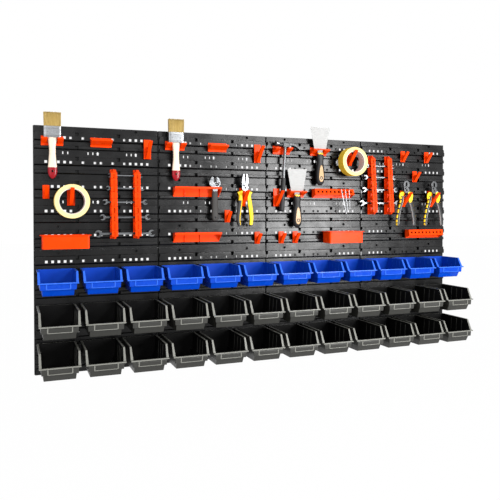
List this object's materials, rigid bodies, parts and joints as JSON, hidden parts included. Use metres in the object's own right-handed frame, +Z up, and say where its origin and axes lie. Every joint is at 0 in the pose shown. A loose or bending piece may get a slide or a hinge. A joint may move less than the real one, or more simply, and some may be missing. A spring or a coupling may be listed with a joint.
{
  "type": "pegboard tool wall",
  "caption": "Wall of louvred pegboard panels with rows of lift-off bins below and pegged hooks, forks, racks, rails and trays above that hold hand tools.",
  "frame": {"origin": "centre of the back plane, where the two rows of panels meet", "axes": "+X along the wall to the right seen from the front, +Y into the wall, +Z up"},
  "size_m": [1.5596, 0.1989, 0.8191],
  "materials": {
    "panel_plastic": "satin",
    "blue_plastic": "semi-gloss",
    "black_plastic": "satin",
    "orange_plastic": "semi-gloss",
    "pale_wood": "lacquered",
    "ferrule_steel": "bright",
    "bristle_hair": "matt",
    "masking_tape": "matt",
    "chrome_steel": "polished",
    "tool_steel": "satin",
    "grip_rubber": "matt",
    "handle_plastic": "satin"
  },
  "bodies": {
    "wall": {"tool_panels": "panel_plastic", "bin_panels": "panel_plastic", "fork_brackets": "orange_plastic", "peg_hooks": "orange_plastic", "spanner_racks": "orange_plastic", "tool_rails": "orange_plastic", "trays": "orange_plastic", "brush_handles": "pale_wood", "brush_ferrules": "ferrule_steel", "brush_bristles": "bristle_hair", "tape_rolls": "masking_tape", "spanners": "chrome_steel", "wrench_body": "chrome_steel", "plier_back_halves": "tool_steel", "hammer_head": "tool_steel", "hammer_grip": "grip_rubber", "putty_blades": "tool_steel", "putty_handles": "handle_plastic", "hex_keys": "chrome_steel"},
    "wrench_jaw": {"wrench_jaw": "chrome_steel"},
    "wrench_worm": {"wrench_worm": "chrome_steel"},
    "pliers_front_half": {"pliers_front_half": "tool_steel"},
    "cutter_1_front_half": {"cutter_1_front_half": "tool_steel"},
    "cutter_2_front_half": {"cutter_2_front_half": "tool_steel"},
    "blue_bin_1": {"blue_bin_1": "blue_plastic"},
    "blue_bin_2": {"blue_bin_2": "blue_plastic"},
    "blue_bin_3": {"blue_bin_3": "blue_plastic"},
    "blue_bin_4": {"blue_bin_4": "blue_plastic"},
    "blue_bin_5": {"blue_bin_5": "blue_plastic"},
    "blue_bin_6": {"blue_bin_6": "blue_plastic"},
    "blue_bin_7": {"blue_bin_7": "blue_plastic"},
    "blue_bin_8": {"blue_bin_8": "blue_plastic"},
    "blue_bin_9": {"blue_bin_9": "blue_plastic"},
    "blue_bin_10": {"blue_bin_10": "blue_plastic"},
    "blue_bin_11": {"blue_bin_11": "blue_plastic"},
    "blue_bin_12": {"blue_bin_12": "blue_plastic"},
    "middle_bin_1": {"middle_bin_1": "black_plastic"},
    "middle_bin_2": {"middle_bin_2": "black_plastic"},
    "middle_bin_3": {"middle_bin_3": "black_plastic"},
    "middle_bin_4": {"middle_bin_4": "black_plastic"},
    "middle_bin_5": {"middle_bin_5": "black_plastic"},
    "middle_bin_6": {"middle_bin_6": "black_plastic"},
    "middle_bin_7": {"middle_bin_7": "black_plastic"},
    "middle_bin_8": {"middle_bin_8": "black_plastic"},
    "middle_bin_9": {"middle_bin_9": "black_plastic"},
    "middle_bin_10": {"middle_bin_10": "black_plastic"},
    "middle_bin_11": {"middle_bin_11": "black_plastic"},
    "middle_bin_12": {"middle_bin_12": "black_plastic"},
    "bottom_bin_1": {"bottom_bin_1": "black_plastic"},
    "bottom_bin_2": {"bottom_bin_2": "black_plastic"},
    "bottom_bin_3": {"bottom_bin_3": "black_plastic"},
    "bottom_bin_4": {"bottom_bin_4": "black_plastic"},
    "bottom_bin_5": {"bottom_bin_5": "black_plastic"},
    "bottom_bin_6": {"bottom_bin_6": "black_plastic"},
    "bottom_bin_7": {"bottom_bin_7": "black_plastic"},
    "bottom_bin_8": {"bottom_bin_8": "black_plastic"},
    "bottom_bin_9": {"bottom_bin_9": "black_plastic"},
    "bottom_bin_10": {"bottom_bin_10": "black_plastic"},
    "bottom_bin_11": {"bottom_bin_11": "black_plastic"},
    "bottom_bin_12": {"bottom_bin_12": "black_plastic"}
  },
  "joints": [
    {"name": "pliers_pivot", "type": "hinge", "parent": "wall", "child": "pliers_front_half", "pos_m": [-0.0927, -0.045, 0.2045], "axis": [0, -1, 0], "range_deg": [0, 25]},
    {"name": "cutter_1_pivot", "type": "hinge", "parent": "wall", "child": "cutter_1_front_half", "pos_m": [0.5757, -0.045, 0.2045], "axis": [0, -1, 0], "range_deg": [0, 15]},
    {"name": "cutter_2_pivot", "type": "hinge", "parent": "wall", "child": "cutter_2_front_half", "pos_m": [0.7059, -0.045, 0.2045], "axis": [0, -1, 0], "range_deg": [0, 15]},
    {"name": "wrench_jaw_slide", "type": "slide", "parent": "wall", "child": "wrench_jaw", "axis": [1, 0, 0], "range_m": [-0.009, 0.006]},
    {"name": "wrench_worm_spin", "type": "hinge", "parent": "wall", "child": "wrench_worm", "pos_m": [-0.1936, -0.04, 0.2136], "axis": [1, 0, 0], "range_deg": [-600, 440]},
    {"name": "blue_bin_1_lift", "type": "slide", "parent": "wall", "child": "blue_bin_1", "axis": [0, 0, 1], "range_m": [0, 0.01]},
    {"name": "blue_bin_2_lift", "type": "slide", "parent": "wall", "child": "blue_bin_2", "axis": [0, 0, 1], "range_m": [0, 0.01]},
    {"name": "blue_bin_3_lift", "type": "slide", "parent": "wall", "child": "blue_bin_3", "axis": [0, 0, 1], "range_m": [0, 0.01]},
    {"name": "blue_bin_4_lift", "type": "slide", "parent": "wall", "child": "blue_bin_4", "axis": [0, 0, 1], "range_m": [0, 0.01]},
    {"name": "blue_bin_5_lift", "type": "slide", "parent": "wall", "child": "blue_bin_5", "axis": [0, 0, 1], "range_m": [0, 0.01]},
    {"name": "blue_bin_6_lift", "type": "slide", "parent": "wall", "child": "blue_bin_6", "axis": [0, 0, 1], "range_m": [0, 0.01]},
    {"name": "blue_bin_7_lift", "type": "slide", "parent": "wall", "child": "blue_bin_7", "axis": [0, 0, 1], "range_m": [0, 0.01]},
    {"name": "blue_bin_8_lift", "type": "slide", "parent": "wall", "child": "blue_bin_8", "axis": [0, 0, 1], "range_m": [0, 0.01]},
    {"name": "blue_bin_9_lift", "type": "slide", "parent": "wall", "child": "blue_bin_9", "axis": [0, 0, 1], "range_m": [0, 0.01]},
    {"name": "blue_bin_10_lift", "type": "slide", "parent": "wall", "child": "blue_bin_10", "axis": [0, 0, 1], "range_m": [0, 0.01]},
    {"name": "blue_bin_11_lift", "type": "slide", "parent": "wall", "child": "blue_bin_11", "axis": [0, 0, 1], "range_m": [0, 0.01]},
    {"name": "blue_bin_12_lift", "type": "slide", "parent": "wall", "child": "blue_bin_12", "axis": [0, 0, 1], "range_m": [0, 0.01]},
    {"name": "middle_bin_1_lift", "type": "slide", "parent": "wall", "child": "middle_bin_1", "axis": [0, 0, 1], "range_m": [0, 0.01]},
    {"name": "middle_bin_2_lift", "type": "slide", "parent": "wall", "child": "middle_bin_2", "axis": [0, 0, 1], "range_m": [0, 0.01]},
    {"name": "middle_bin_3_lift", "type": "slide", "parent": "wall", "child": "middle_bin_3", "axis": [0, 0, 1], "range_m": [0, 0.01]},
    {"name": "middle_bin_4_lift", "type": "slide", "parent": "wall", "child": "middle_bin_4", "axis": [0, 0, 1], "range_m": [0, 0.01]},
    {"name": "middle_bin_5_lift", "type": "slide", "parent": "wall", "child": "middle_bin_5", "axis": [0, 0, 1], "range_m": [0, 0.01]},
    {"name": "middle_bin_6_lift", "type": "slide", "parent": "wall", "child": "middle_bin_6", "axis": [0, 0, 1], "range_m": [0, 0.01]},
    {"name": "middle_bin_7_lift", "type": "slide", "parent": "wall", "child": "middle_bin_7", "axis": [0, 0, 1], "range_m": [0, 0.01]},
    {"name": "middle_bin_8_lift", "type": "slide", "parent": "wall", "child": "middle_bin_8", "axis": [0, 0, 1], "range_m": [0, 0.01]},
    {"name": "middle_bin_9_lift", "type": "slide", "parent": "wall", "child": "middle_bin_9", "axis": [0, 0, 1], "range_m": [0, 0.01]},
    {"name": "middle_bin_10_lift", "type": "slide", "parent": "wall", "child": "middle_bin_10", "axis": [0, 0, 1], "range_m": [0, 0.01]},
    {"name": "middle_bin_11_lift", "type": "slide", "parent": "wall", "child": "middle_bin_11", "axis": [0, 0, 1], "range_m": [0, 0.01]},
    {"name": "middle_bin_12_lift", "type": "slide", "parent": "wall", "child": "middle_bin_12", "axis": [0, 0, 1], "range_m": [0, 0.01]},
    {"name": "bottom_bin_1_lift", "type": "slide", "parent": "wall", "child": "bottom_bin_1", "axis": [0, 0, 1], "range_m": [0, 0.01]},
    {"name": "bottom_bin_2_lift", "type": "slide", "parent": "wall", "child": "bottom_bin_2", "axis": [0, 0, 1], "range_m": [0, 0.01]},
    {"name": "bottom_bin_3_lift", "type": "slide", "parent": "wall", "child": "bottom_bin_3", "axis": [0, 0, 1], "range_m": [0, 0.01]},
    {"name": "bottom_bin_4_lift", "type": "slide", "parent": "wall", "child": "bottom_bin_4", "axis": [0, 0, 1], "range_m": [0, 0.01]},
    {"name": "bottom_bin_5_lift", "type": "slide", "parent": "wall", "child": "bottom_bin_5", "axis": [0, 0, 1], "range_m": [0, 0.01]},
    {"name": "bottom_bin_6_lift", "type": "slide", "parent": "wall", "child": "bottom_bin_6", "axis": [0, 0, 1], "range_m": [0, 0.01]},
    {"name": "bottom_bin_7_lift", "type": "slide", "parent": "wall", "child": "bottom_bin_7", "axis": [0, 0, 1], "range_m": [0, 0.01]},
    {"name": "bottom_bin_8_lift", "type": "slide", "parent": "wall", "child": "bottom_bin_8", "axis": [0, 0, 1], "range_m": [0, 0.01]},
    {"name": "bottom_bin_9_lift", "type": "slide", "parent": "wall", "child": "bottom_bin_9", "axis": [0, 0, 1], "range_m": [0, 0.01]},
    {"name": "bottom_bin_10_lift", "type": "slide", "parent": "wall", "child": "bottom_bin_10", "axis": [0, 0, 1], "range_m": [0, 0.01]},
    {"name": "bottom_bin_11_lift", "type": "slide", "parent": "wall", "child": "bottom_bin_11", "axis": [0, 0, 1], "range_m": [0, 0.01]},
    {"name": "bottom_bin_12_lift", "type": "slide", "parent": "wall", "child": "bottom_bin_12", "axis": [0, 0, 1], "range_m": [0, 0.01]}
  ],
  "couplings": [
    {"joint": "wrench_worm_spin", "follows": "wrench_jaw_slide", "rad_per_m": 1142.4}
  ]
}
